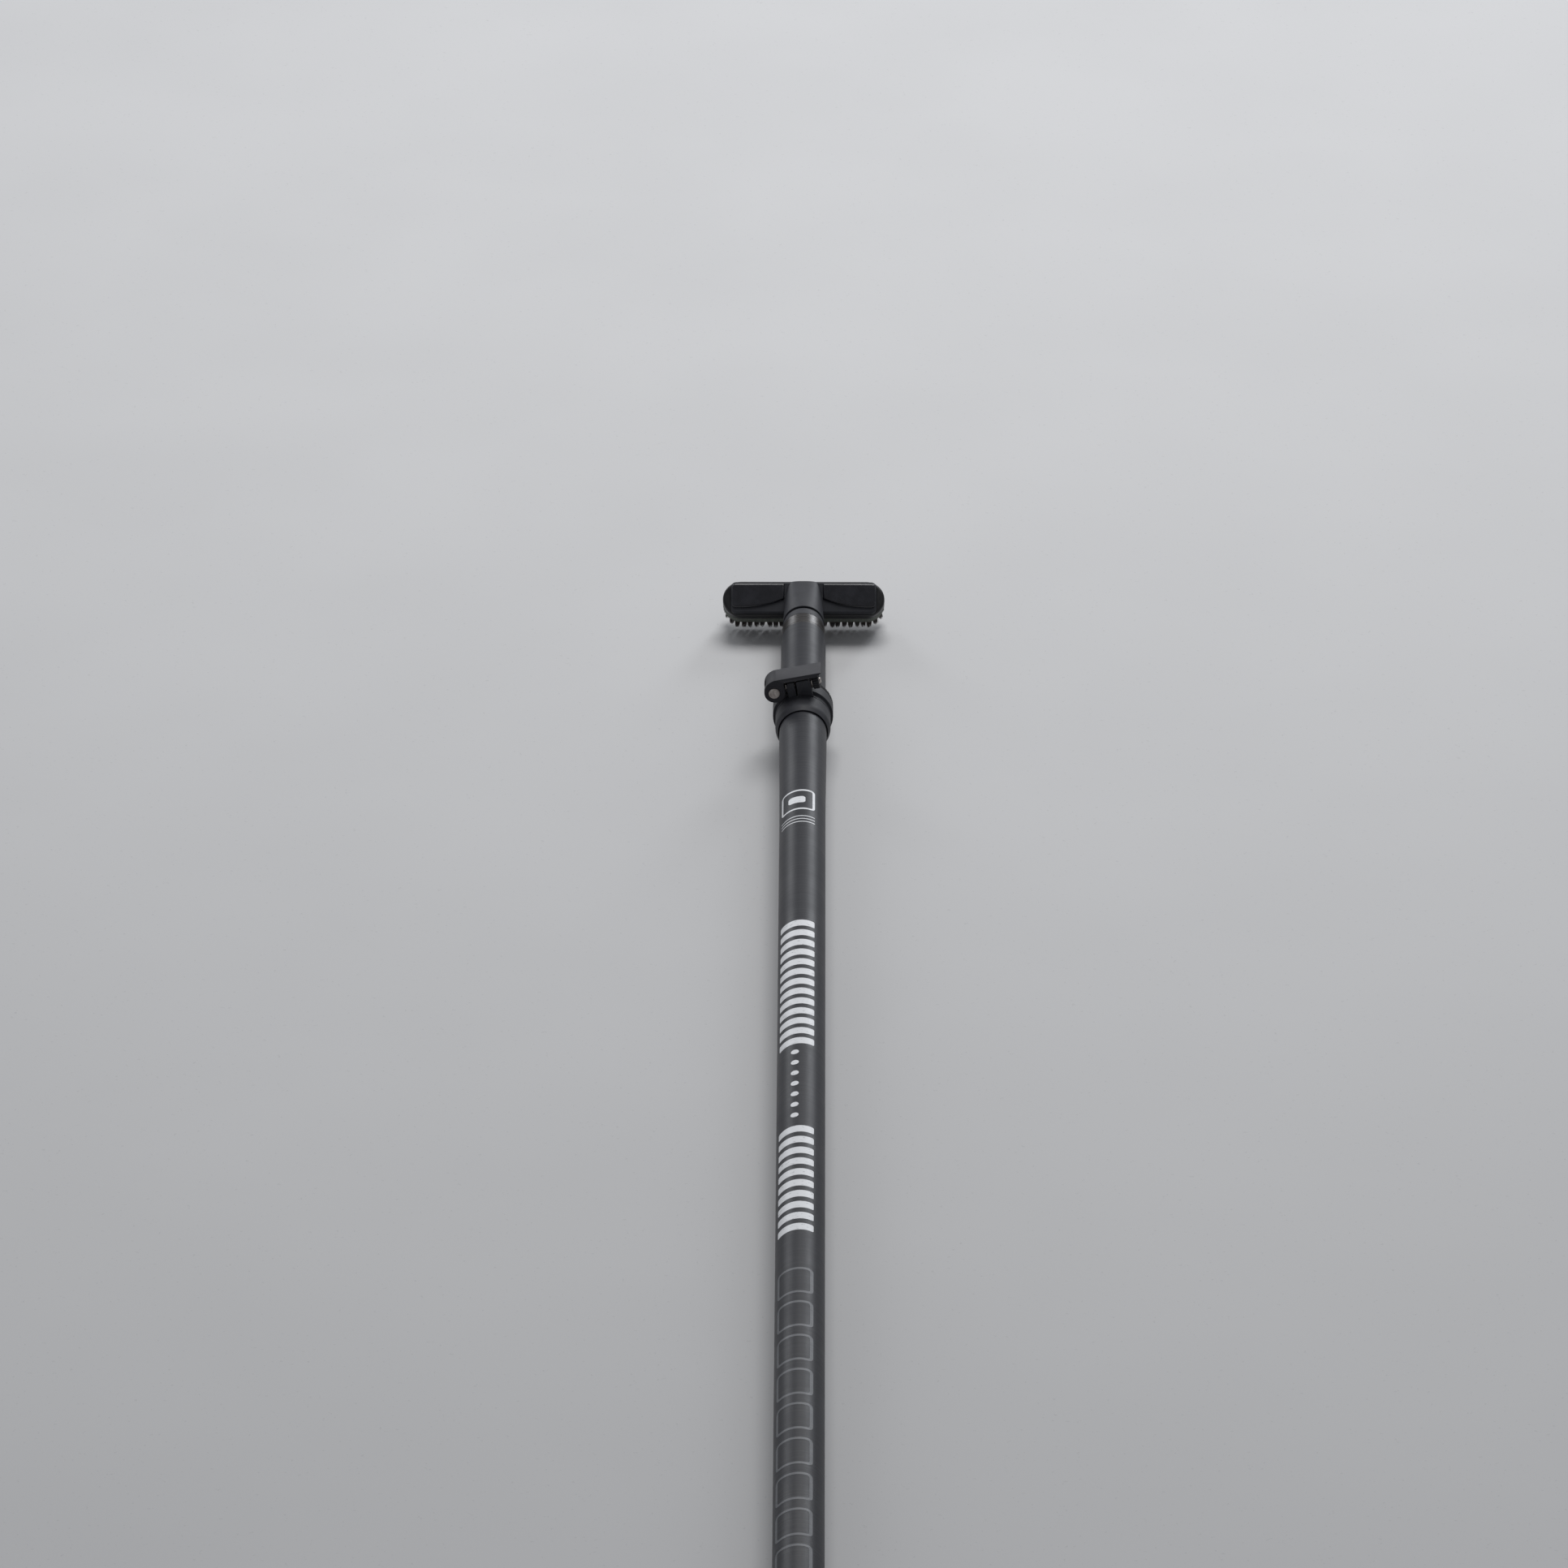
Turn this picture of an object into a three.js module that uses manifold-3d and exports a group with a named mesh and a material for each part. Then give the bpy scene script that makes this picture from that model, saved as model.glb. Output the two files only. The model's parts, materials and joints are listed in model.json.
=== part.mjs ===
// A section of high-reach suction pole with its lever clamp and a T-shaped brush nozzle.
// Millimetres. +Y runs along the pole from the hose end to the nozzle, +X across the nozzle, +Z up.
// The origin is the centre of the lower tube's open end.
import * as THREE from "three";
import { mergeVertices } from "three/addons/utils/BufferGeometryUtils.js";
import Module from "manifold-3d";

const wasm = await Module();
wasm.setup();

// ---- Driving dimensions ----
const ROUND = 48; // sides of a full turn on the tubes
const SMALL_ROUND = 24; // sides of a full turn on screws and pins
const GAP = 0.3; // clearance between pieces that touch

const TUBE_R = 20.5; // outer radius of both tubes
const BORE_R = 19.3;
const LOWER_LENGTH = 1500;
const SOCKET_DEPTH = 113.5; // length of the widened clamp end's bore
const SOCKET_R = 21.4; // outer radius of the widened clamp end
const SOCKET_BORE_R = 20.3;
const SOCKET_PLAIN = 39; // length of the clamp end before it tapers back
const SOCKET_TAPER = 132;
const MALE_R = 20.0; // the upper tube's plug end
const MALE_BORE_R = 18.8;
const SEAL_HEIGHT = 3;
const UPPER_TOP = 1650.6; // where the upper tube ends, along the pole

const CLAMP_START = 1479.2; // lower edge of the clamp body
const CLAMP_LEAN = THREE.MathUtils.degToRad(-11.5); // the clamp is turned a little about the pole
const COLLAR_R = 25;
const COLLAR_CHAMFER = 5.6;
const SLOT_START = 1502.4; // the slot that frees the jaws from the collar
const SLOT_WIDTH = 0.8;
const BAND_START = 1508.8;
const BAND_END = 1523.5;
const BAND_R = 27.3;
const JAW_R = 22.4; // bore of the jaws, filled by the liner
const LIP_R = 20.9;
const RIM_END = 1528.7; // top of the liner's rim
const RIM_TEETH = 36;
const SLIT = 2; // gap between the two jaws
const EAR_LEFT = 8.2;
const EAR_RIGHT = 13.7;
const EAR_TOP = 38.5;

const LEVER_START = 1501.2;
const LEVER_WIDTH = 20.8;
const LEVER_MIDDLE = LEVER_START + LEVER_WIDTH / 2;
const LEVER_TOP = 45;
const LEVER_UNDER = 40.8;
const LEVER_TIP = 25.2;
const FORK_SLOT = 9;
const PIN_X = -20;
const PIN_Z = 32;
const PIN_R = 5.1;
const PIN_CLEARANCE = 0.2;
const CAM_OFFSET = 0.5; // how far the cam's centre stands off the pin
const CAM_R = 9.5;
const SCREW_R = 2.9;
const SCREW_END = 23;
const WASHER_THICK = 1.2;
const WASHER_R = 5.6;
const NUT_WIDTH = 6;
const NUT_R = 7;
const NUT_RIDGES = 18;

const ADAPTER_BORE_R = 14.2;
const INSERT_START = 1614;
const FERRULE_START = UPPER_TOP + 0.4;
const FERRULE_END = 1668.7;
const FERRULE_R = 19.85;
const CONE_END = 1681.5;
const SPIGOT_R = 16.55;
const SPIGOT_END = 1706;
const RING_AT = 1696; // middle of the spigot's seal ring

const MOUTH = 1684; // the neck's open end, along the pole
const MOUTH_R = 19;
const NECK_R = 17; // half the neck's width where it meets the head
const NECK_SQUARE = 1727; // where the neck stops narrowing
const NECK_POWER = 3; // 2 is round, and more is squarer
const NECK_END = 1790; // past the head, which cuts the neck and its bore off
const NECK_BORE_R = 14.5;
const SPIGOT_BORE_R = 16.95;

const HEAD_TILT = THREE.MathUtils.degToRad(45); // sole plane against the pole
const HEAD_AT = [0, 1734.9, -3.86]; // middle of the head's underside
const HEAD_HALF = 75; // half the nozzle's width
const HEAD_ROUND = 17; // radius of its round ends
const ROW_HALF = HEAD_HALF - HEAD_ROUND; // half the straight stretch between them
const BODY_HALF = 67.5;
const BODY_NEAR = -15;
const BODY_FAR = 15.5;
const BODY_BOTTOM = 2;
const BODY_TOP = 12;
const COVER_TOP = 14;
const WALL = 2.2;
const FRAME_TOP = 9;
const FRAME_FLOOR = 1.6;
const COVER_SETBACK = 2.2; // from the body's far edge to the covers'
const COVER_ROOT = -1.5; // the covers' near edge beside the neck, and at its outer end
const COVER_NEAR = -9.8;
const STRIP_BOTTOM = -11;
const STRIP_SLOT = 9; // half the width of the slot along the strip
const TUFT_BOTTOM = -30;

// ---- Solids ----
function solid(geometry) {
  const bare = geometry.clone();
  bare.deleteAttribute("normal");
  bare.deleteAttribute("uv");
  const merged = mergeVertices(bare, 1e-4);
  const corners = new Uint32Array(merged.index.array);
  const vertices = merged.attributes.position.array;
  const made = new wasm.Manifold(
    new wasm.Mesh({ numProp: 3, vertProperties: vertices, triVerts: corners }),
  );
  if (made.volume() > 0) return made;
  for (let i = 0; i < corners.length; i += 3) {
    const first = corners[i];
    corners[i] = corners[i + 1];
    corners[i + 1] = first;
  }
  return new wasm.Manifold(
    new wasm.Mesh({ numProp: 3, vertProperties: vertices, triVerts: corners }),
  );
}

function geometryOf(made) {
  const mesh = made.getMesh();
  const geometry = new THREE.BufferGeometry();
  geometry.setAttribute("position", new THREE.BufferAttribute(mesh.vertProperties, 3));
  geometry.setIndex(new THREE.BufferAttribute(mesh.triVerts, 1));
  geometry.computeVertexNormals();
  return geometry;
}

// A ring or plug turned about Y. The profile is a list of [radius, height] corners.
function turned(profile, sides = ROUND) {
  const points = profile.map(([r, y]) => new THREE.Vector2(r, y));
  points.push(points[0].clone());
  return solid(new THREE.LatheGeometry(points, sides));
}

function block(low, high) {
  const size = high.map((v, k) => v - low[k]);
  const middle = high.map((v, k) => (v + low[k]) / 2);
  return solid(new THREE.BoxGeometry(...size).translate(...middle));
}

// A rod along X at a place given as [y, z].
function rodX(radius, from, to, [y, z], sides = SMALL_ROUND) {
  const rod = new THREE.CylinderGeometry(radius, radius, to - from, sides);
  return solid(rod.rotateZ(Math.PI / 2).translate((from + to) / 2, y, z));
}

// An outline in X and Z, pushed along +Y from one height to another.
function pushedY(shape, from, to, curveSegments = 10) {
  const options = { depth: to - from, bevelEnabled: false, curveSegments };
  return solid(new THREE.ExtrudeGeometry(shape, options).rotateX(Math.PI / 2).translate(0, to, 0));
}

// An outline in X and Y, pushed along +Z from one height to another.
function pushedZ(shape, from, to, curveSegments = 8) {
  const options = { depth: to - from, bevelEnabled: false, curveSegments };
  return solid(new THREE.ExtrudeGeometry(shape, options).translate(0, 0, from));
}

function named(name, made, colour, roughness, metalness = 0) {
  const material = new THREE.MeshStandardMaterial({ color: colour, roughness, metalness });
  const mesh = new THREE.Mesh(geometryOf(made), material);
  mesh.name = name;
  return mesh;
}

// ---- Tubes ----
function lowerTube() {
  const socketFloor = LOWER_LENGTH - SOCKET_DEPTH;
  const taperTop = LOWER_LENGTH - SOCKET_PLAIN;
  return turned([
    [BORE_R, 0],
    [TUBE_R, 0],
    [TUBE_R, taperTop - SOCKET_TAPER],
    [SOCKET_R, taperTop],
    [SOCKET_R, LOWER_LENGTH],
    [SOCKET_BORE_R, LOWER_LENGTH],
    [SOCKET_BORE_R, socketFloor],
    [BORE_R, socketFloor],
  ]);
}

function socketSeal() {
  const bottom = LOWER_LENGTH - SOCKET_DEPTH + GAP;
  return turned([
    [MALE_BORE_R, bottom],
    [MALE_R, bottom],
    [MALE_R, bottom + SEAL_HEIGHT],
    [MALE_BORE_R, bottom + SEAL_HEIGHT],
  ]);
}

function upperTube() {
  const plugEnd = LOWER_LENGTH - SOCKET_DEPTH + SEAL_HEIGHT + 2 * GAP;
  const shoulder = LOWER_LENGTH + GAP;
  return turned([
    [MALE_BORE_R, plugEnd],
    [MALE_R - 0.8, plugEnd],
    [MALE_R, plugEnd + 2],
    [MALE_R, shoulder],
    [TUBE_R, shoulder],
    [TUBE_R, UPPER_TOP],
    [BORE_R, UPPER_TOP],
    [BORE_R, shoulder + 12],
    [MALE_BORE_R, shoulder + 8],
  ]);
}

// ---- Clamp ----
function slitCut(from) {
  return block([-SLIT / 2, from, 0], [SLIT / 2, RIM_END + 5, EAR_TOP + 5]);
}

function clampBody() {
  const inner = SOCKET_R + GAP;
  const sleeve = turned([
    [inner + 0.6, CLAMP_START],
    [COLLAR_R - 2.2, CLAMP_START],
    [COLLAR_R, CLAMP_START + COLLAR_CHAMFER],
    [COLLAR_R, BAND_START],
    [BAND_R, BAND_START],
    [BAND_R, BAND_END],
    [JAW_R, BAND_END],
    [JAW_R, SLOT_START + SLOT_WIDTH + 1],
    [LIP_R, SLOT_START + SLOT_WIDTH + 1],
    [LIP_R, LOWER_LENGTH + GAP],
    [inner, LOWER_LENGTH + GAP],
    [inner, CLAMP_START + 1],
  ]);
  const earStart = SLOT_START + SLOT_WIDTH;
  const ears = block([-EAR_LEFT, earStart, BAND_R - 8], [EAR_RIGHT, BAND_END - 1, EAR_TOP]);
  const jawBore = turned([
    [0, earStart - 1],
    [JAW_R, earStart - 1],
    [JAW_R, BAND_END],
    [0, BAND_END],
  ]);
  const slot = block([-40, SLOT_START, 1.5], [40, earStart, 60]);
  const hole = rodX(SCREW_R + GAP, -40, 40, [LEVER_MIDDLE, PIN_Z]);
  return sleeve.add(ears.subtract(jawBore)).subtract(slot).subtract(slitCut(SLOT_START)).subtract(hole);
}

// A rubber sleeve that grips the tube, with a toothed rim over the end of the jaws.
function clampLiner() {
  const start = SLOT_START + SLOT_WIDTH + 1 + GAP;
  const sleeve = turned([
    [TUBE_R + 0.25, start],
    [JAW_R - GAP, start],
    [JAW_R - GAP, BAND_END + GAP],
    [BAND_R, BAND_END + GAP],
    [BAND_R, RIM_END - 1],
    [BAND_R - 1, RIM_END],
    [TUBE_R + 0.25, RIM_END],
  ]);
  let rim = sleeve.subtract(slitCut(SLOT_START));
  for (let i = 0; i < RIM_TEETH; i++) {
    const notch = new THREE.BoxGeometry(1.2, RIM_END, 1.4).translate(0, BAND_END + 1.5 + RIM_END / 2, BAND_R);
    rim = rim.subtract(solid(notch.rotateY(((i + 0.5) / RIM_TEETH) * 2 * Math.PI)));
  }
  return rim;
}

function leverOutline() {
  const camX = PIN_X + CAM_OFFSET;
  const left = camX - CAM_R;
  const roll = LEVER_TOP - PIN_Z;
  const outline = new THREE.Shape();
  outline.moveTo(LEVER_TIP, LEVER_TOP);
  outline.lineTo(left + roll, LEVER_TOP);
  outline.absarc(left + roll, PIN_Z, roll, Math.PI / 2, Math.PI, false);
  outline.absarc(camX, PIN_Z, CAM_R, Math.PI, 2 * Math.PI, false);
  outline.lineTo(camX + CAM_R, LEVER_UNDER - 1);
  outline.lineTo(camX + CAM_R + 1, LEVER_UNDER);
  outline.lineTo(LEVER_TIP - 5.5, LEVER_UNDER);
  outline.lineTo(LEVER_TIP, LEVER_TOP - 1);
  outline.closePath();
  return outline;
}

function lever() {
  const bar = pushedY(leverOutline(), LEVER_START, LEVER_START + LEVER_WIDTH);
  const bore = pinRod(PIN_R + PIN_CLEARANCE, LEVER_START - 1, LEVER_START + LEVER_WIDTH + 1);
  const half = FORK_SLOT / 2;
  const fork = block([-40, LEVER_MIDDLE - half, 10], [-6, LEVER_MIDDLE + half, LEVER_UNDER - 1]);
  return bar.subtract(bore).subtract(fork);
}

function pinRod(radius, from, to) {
  const rod = new THREE.CylinderGeometry(radius, radius, to - from, SMALL_ROUND);
  return solid(rod.translate(PIN_X, (from + to) / 2, PIN_Z));
}

function pivotPin() {
  const pin = pinRod(PIN_R, LEVER_START - GAP, LEVER_START + LEVER_WIDTH + GAP);
  return pin.subtract(rodX(SCREW_R + GAP, PIN_X - 10, PIN_X + 10, [LEVER_MIDDLE, PIN_Z]));
}

function clampScrew() {
  return rodX(SCREW_R, PIN_X - PIN_R + 1, SCREW_END, [LEVER_MIDDLE, PIN_Z]);
}

function washer(from) {
  const disc = rodX(WASHER_R, from, from + WASHER_THICK, [LEVER_MIDDLE, PIN_Z]);
  return disc.subtract(rodX(SCREW_R + GAP, from - 1, from + WASHER_THICK + 1, [LEVER_MIDDLE, PIN_Z]));
}

function adjusterNut() {
  const outline = new THREE.Shape();
  for (let i = 0; i < 2 * NUT_RIDGES; i++) {
    const turn = (i / NUT_RIDGES) * Math.PI;
    const radius = i % 2 ? NUT_R - 0.7 : NUT_R;
    outline[i ? "lineTo" : "moveTo"](radius * Math.cos(turn), radius * Math.sin(turn));
  }
  outline.closePath();
  const start = EAR_RIGHT + WASHER_THICK + 2 * GAP;
  const knob = new THREE.ExtrudeGeometry(outline, { depth: NUT_WIDTH, bevelEnabled: false });
  knob.rotateY(Math.PI / 2).translate(start, LEVER_MIDDLE, PIN_Z);
  return solid(knob).subtract(rodX(SCREW_R + GAP, start - 1, start + NUT_WIDTH + 1, [LEVER_MIDDLE, PIN_Z]));
}

// ---- Adapter between the upper tube and the nozzle ----
function adapter() {
  const collar = FERRULE_R - 1.85;
  return turned([
    [ADAPTER_BORE_R, INSERT_START],
    [BORE_R - GAP, INSERT_START],
    [BORE_R - GAP, UPPER_TOP],
    [collar, UPPER_TOP],
    [collar, FERRULE_END + GAP],
    [FERRULE_R - 0.1, FERRULE_END + GAP],
    [FERRULE_R - 1.5, CONE_END],
    [SPIGOT_R, CONE_END + 0.5],
    [SPIGOT_R, RING_AT - 1.4],
    [SPIGOT_R - 1.2, RING_AT - 1.4],
    [SPIGOT_R - 1.2, RING_AT + 1.4],
    [SPIGOT_R, RING_AT + 1.4],
    [SPIGOT_R - 0.3, SPIGOT_END - 1],
    [SPIGOT_R - 1, SPIGOT_END],
    [ADAPTER_BORE_R, SPIGOT_END],
  ]);
}

function adapterFerrule() {
  const inner = FERRULE_R - 1.85 + GAP;
  return turned([
    [inner, FERRULE_START],
    [FERRULE_R, FERRULE_START],
    [FERRULE_R, FERRULE_END],
    [inner, FERRULE_END],
  ]);
}

function spigotSeal() {
  const inner = SPIGOT_R - 0.9;
  return turned([
    [inner, RING_AT - 1.1],
    [SPIGOT_R - 0.2, RING_AT - 1.1],
    [SPIGOT_R + 0.2, RING_AT - 0.4],
    [SPIGOT_R + 0.2, RING_AT + 0.4],
    [SPIGOT_R - 0.2, RING_AT + 1.1],
    [inner, RING_AT + 1.1],
  ]);
}

// ---- Nozzle head, in its own frame: X across, Y along its depth, Z away from the sole ----
function stadium(half, round, near = 0) {
  const shape = new THREE.Shape();
  const middle = half - round;
  shape.moveTo(-middle, near - round);
  shape.lineTo(middle, near - round);
  shape.absarc(middle, near, round, -Math.PI / 2, Math.PI / 2, false);
  shape.lineTo(-middle, near + round);
  shape.absarc(-middle, near, round, Math.PI / 2, 1.5 * Math.PI, false);
  return shape;
}

function roundedBox(half, near, far, corner) {
  const shape = new THREE.Shape();
  shape.moveTo(-half + corner, near);
  shape.lineTo(half - corner, near);
  shape.absarc(half - corner, near + corner, corner, -Math.PI / 2, 0, false);
  shape.absarc(half - corner, far - corner, corner, 0, Math.PI / 2, false);
  shape.absarc(-half + corner, far - corner, corner, Math.PI / 2, Math.PI, false);
  shape.absarc(-half + corner, near + corner, corner, Math.PI, 1.5 * Math.PI, false);
  return shape;
}

// Brings a solid from the pole's frame into the head's.
function inHead(made) {
  const geometry = geometryOf(made);
  geometry.translate(...HEAD_AT.map((v) => -v)).rotateX(-HEAD_TILT);
  return solid(geometry);
}

// The neck's outer skin, as rings along the pole. It narrows from its round mouth and turns square
// on its upper side, so that its flanks run straight to the head's far edge.
function neckSkin(outset = 0) {
  const rings = [
    { at: MOUTH, radius: MOUTH_R + outset, power: 2 },
    { at: NECK_SQUARE, radius: NECK_R + outset, power: NECK_POWER },
    { at: NECK_END, radius: NECK_R + outset, power: NECK_POWER },
  ];
  const vertices = [];
  const corners = [];
  for (const { at, radius, power } of rings) {
    for (let i = 0; i < ROUND; i++) {
      const turn = (i / ROUND) * 2 * Math.PI;
      const [across, up] = [Math.cos(turn), Math.sin(turn)];
      const bulge = up > 0 ? power : 2;
      const reach = radius * (Math.abs(across) ** bulge + Math.abs(up) ** bulge) ** (-1 / bulge);
      vertices.push(reach * across, at, reach * up);
    }
  }
  const endCentres = rings.length * ROUND;
  vertices.push(0, MOUTH, 0, 0, NECK_END, 0);
  for (let i = 0; i < ROUND; i++) {
    const next = (i + 1) % ROUND;
    for (let ring = 0; ring < rings.length - 1; ring++) {
      const [a, b] = [ring * ROUND + i, ring * ROUND + next];
      corners.push(a, a + ROUND, b, b, a + ROUND, b + ROUND);
    }
    const last = endCentres - ROUND;
    corners.push(i, next, endCentres, last + next, last + i, endCentres + 1);
  }
  const skin = new THREE.BufferGeometry();
  skin.setAttribute("position", new THREE.Float32BufferAttribute(vertices, 3));
  skin.setIndex(corners);
  return inHead(solid(skin));
}

function nozzleBody() {
  const bore = inHead(
    turned([
      [0, MOUTH - 1],
      [SPIGOT_BORE_R + 1.2, MOUTH - 1],
      [SPIGOT_BORE_R, MOUTH + 3],
      [SPIGOT_BORE_R, SPIGOT_END + 1],
      [NECK_BORE_R, SPIGOT_END + 3],
      [NECK_BORE_R, NECK_END],
      [0, NECK_END],
    ]),
  );
  const keep = block([-80, -90, BODY_BOTTOM], [80, BODY_FAR, 90]);
  const inside = block([-80, -90, -10], [80, BODY_FAR - WALL, 90]);
  const arms = pushedZ(roundedBox(BODY_HALF, BODY_NEAR, BODY_FAR, 5), BODY_BOTTOM, BODY_TOP);
  const chamberOutline = roundedBox(BODY_HALF - WALL, BODY_NEAR + WALL, BODY_FAR - WALL, 3);
  const chamber = pushedZ(chamberOutline, 0, BODY_TOP - WALL);
  return arms.add(neckSkin().intersect(keep)).subtract(bore.intersect(inside)).subtract(chamber);
}

// A raised glossy cover on one arm. Its near edge sweeps back towards the neck.
function cover(side) {
  const inner = NECK_R + 0.8;
  const outer = BODY_HALF - 1;
  const far = BODY_FAR - COVER_SETBACK;
  const shape = new THREE.Shape();
  shape.moveTo(inner, far);
  shape.lineTo(inner, COVER_ROOT);
  shape.bezierCurveTo(inner + 9, COVER_ROOT - 4, inner + 22, COVER_NEAR, outer - 5, COVER_NEAR);
  shape.quadraticCurveTo(outer, COVER_NEAR, outer, COVER_NEAR + 4);
  shape.lineTo(outer, far - 4);
  shape.quadraticCurveTo(outer, far, outer - 4, far);
  shape.closePath();
  const plate = pushedZ(shape, BODY_TOP + GAP, COVER_TOP);
  if (side > 0) return plate;
  const other = geometryOf(plate).scale(-1, 1, 1);
  return solid(other);
}

// The cushioned frame round the body, with the suction mouth in its floor and a notch for the neck.
function brushFrame() {
  const outside = pushedZ(stadium(HEAD_HALF, HEAD_ROUND), 0, FRAME_TOP);
  const pocket = roundedBox(BODY_HALF + GAP, BODY_NEAR - GAP, BODY_FAR + GAP, 5 + GAP);
  const mouth = stadium(ROW_HALF, STRIP_SLOT - 1);
  const aboveFloor = block([-80, -90, FRAME_FLOOR], [80, BODY_NEAR, 90]);
  return outside
    .subtract(pushedZ(pocket, FRAME_FLOOR, FRAME_TOP + 1))
    .subtract(pushedZ(mouth, -1, FRAME_FLOOR + 1))
    .subtract(neckSkin(2 * GAP).intersect(aboveFloor));
}

function brushStrip() {
  const outer = HEAD_ROUND - 0.1;
  const outside = pushedZ(stadium(ROW_HALF + outer, outer), STRIP_BOTTOM, -GAP);
  return outside.subtract(pushedZ(stadium(ROW_HALF + STRIP_SLOT, STRIP_SLOT), STRIP_BOTTOM - 1, 1));
}

// Section of a row of bristles: it leans outward from the strip to the tips.
const TUFT_ROW = { inner: 10.5, outer: 14.6, innerTip: 12, outerTip: 17 };

function bristleRow(side) {
  const top = STRIP_BOTTOM - GAP;
  const shape = new THREE.Shape();
  shape.moveTo(TUFT_ROW.inner, top);
  shape.lineTo(TUFT_ROW.innerTip, TUFT_BOTTOM);
  shape.lineTo(TUFT_ROW.outerTip, TUFT_BOTTOM);
  shape.lineTo(TUFT_ROW.outer, top);
  shape.closePath();
  const length = 2 * ROW_HALF - 2 * GAP;
  const bar = new THREE.ExtrudeGeometry(shape, { depth: length, bevelEnabled: false });
  bar.translate(0, 0, -length / 2).rotateX(Math.PI / 2).rotateZ(Math.PI / 2);
  if (side < 0) bar.scale(1, -1, 1);
  return solid(bar);
}

function bristleEnd(side) {
  const top = STRIP_BOTTOM - GAP;
  const ring = new THREE.LatheGeometry(
    [
      new THREE.Vector2(TUFT_ROW.inner, top),
      new THREE.Vector2(TUFT_ROW.innerTip, TUFT_BOTTOM),
      new THREE.Vector2(TUFT_ROW.outerTip, TUFT_BOTTOM),
      new THREE.Vector2(TUFT_ROW.outer, top),
      new THREE.Vector2(TUFT_ROW.inner, top),
    ],
    ROUND,
  );
  ring.rotateX(Math.PI / 2).translate(side * ROW_HALF, 0, 0);
  const keep = side > 0 ? block([ROW_HALF, -30, -40], [120, 30, 20]) : block([-120, -30, -40], [-ROW_HALF, 30, 20]);
  return solid(ring).intersect(keep);
}

// ---- Assembly ----
const CARBON = "#3d3e41";
const SATIN = "#46474b";
const GLOSS = "#1d1d24";
const BLACK = "#17171a";
const STEEL = "#9a9390";
const BRISTLE = "#1c1614";

const pole = new THREE.Group();
pole.add(
  named("lower_tube", lowerTube(), CARBON, 0.42),
  named("socket_seal", socketSeal(), BLACK, 0.8),
  named("upper_tube", upperTube(), CARBON, 0.42),
  named("adapter", adapter(), SATIN, 0.5),
  named("adapter_ferrule", adapterFerrule(), "#4a4644", 0.15),
  named("spigot_seal", spigotSeal(), BLACK, 0.8),
);

const clamp = new THREE.Group();
clamp.rotation.y = CLAMP_LEAN;
clamp.add(
  named("clamp_body", clampBody(), SATIN, 0.55),
  named("clamp_liner", clampLiner(), BLACK, 0.85),
  named("lever", lever(), "#3e3e42", 0.55),
  named("pivot_pin", pivotPin(), STEEL, 0.35, 1),
  named("clamp_screw", clampScrew(), STEEL, 0.35, 1),
  named("cam_washer", washer(-EAR_LEFT - GAP - WASHER_THICK), STEEL, 0.35, 1),
  named("nut_washer", washer(EAR_RIGHT + GAP), STEEL, 0.35, 1),
  named("adjuster_nut", adjusterNut(), BLACK, 0.6),
);
pole.add(clamp);

const head = new THREE.Group();
head.position.set(...HEAD_AT);
head.rotation.x = HEAD_TILT;
head.add(
  named("nozzle_body", nozzleBody(), SATIN, 0.5),
  named("cover_left", cover(-1), GLOSS, 0.2),
  named("cover_right", cover(1), GLOSS, 0.2),
  named("brush_frame", brushFrame(), BLACK, 0.35),
  named("brush_strip", brushStrip(), "#5b5f58", 0.7),
  named("bristles_near", bristleRow(-1), BRISTLE, 0.9),
  named("bristles_far", bristleRow(1), BRISTLE, 0.9),
  named("bristles_left", bristleEnd(-1), BRISTLE, 0.9),
  named("bristles_right", bristleEnd(1), BRISTLE, 0.9),
);
pole.add(head);

export default pole;
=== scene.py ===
# Looks for a high-reach suction pole: carbon tubes, a lever clamp and a T-shaped brush nozzle.
# Shapes are written in millimetres in the row frame: +Y along the pole, +X across the nozzle, +Z up.
import json
import math
import random

import bmesh
import bpy
from mathutils import Matrix, Vector


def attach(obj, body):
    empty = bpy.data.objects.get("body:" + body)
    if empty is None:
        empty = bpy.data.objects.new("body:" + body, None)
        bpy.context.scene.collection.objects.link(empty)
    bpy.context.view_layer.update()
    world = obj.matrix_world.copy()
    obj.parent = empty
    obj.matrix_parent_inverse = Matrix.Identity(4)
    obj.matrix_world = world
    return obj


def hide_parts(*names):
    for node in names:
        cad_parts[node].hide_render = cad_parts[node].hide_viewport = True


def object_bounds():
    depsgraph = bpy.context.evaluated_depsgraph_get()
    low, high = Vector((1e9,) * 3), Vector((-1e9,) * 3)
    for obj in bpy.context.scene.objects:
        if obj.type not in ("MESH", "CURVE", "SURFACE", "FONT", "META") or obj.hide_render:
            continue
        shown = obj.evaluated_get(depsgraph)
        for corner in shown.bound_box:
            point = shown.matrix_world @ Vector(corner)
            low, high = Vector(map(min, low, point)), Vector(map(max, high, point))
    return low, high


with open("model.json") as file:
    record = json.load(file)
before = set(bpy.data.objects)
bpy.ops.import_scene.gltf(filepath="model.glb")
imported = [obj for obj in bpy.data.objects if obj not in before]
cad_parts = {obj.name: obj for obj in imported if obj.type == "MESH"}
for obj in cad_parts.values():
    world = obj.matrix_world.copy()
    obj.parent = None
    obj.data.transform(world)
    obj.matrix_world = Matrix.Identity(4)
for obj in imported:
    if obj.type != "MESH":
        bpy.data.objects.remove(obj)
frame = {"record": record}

cad_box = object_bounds()

MM = 0.001
AROUND = 160  # sides of a turned piece
GAP = 0.3  # clearance between pieces that touch

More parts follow.
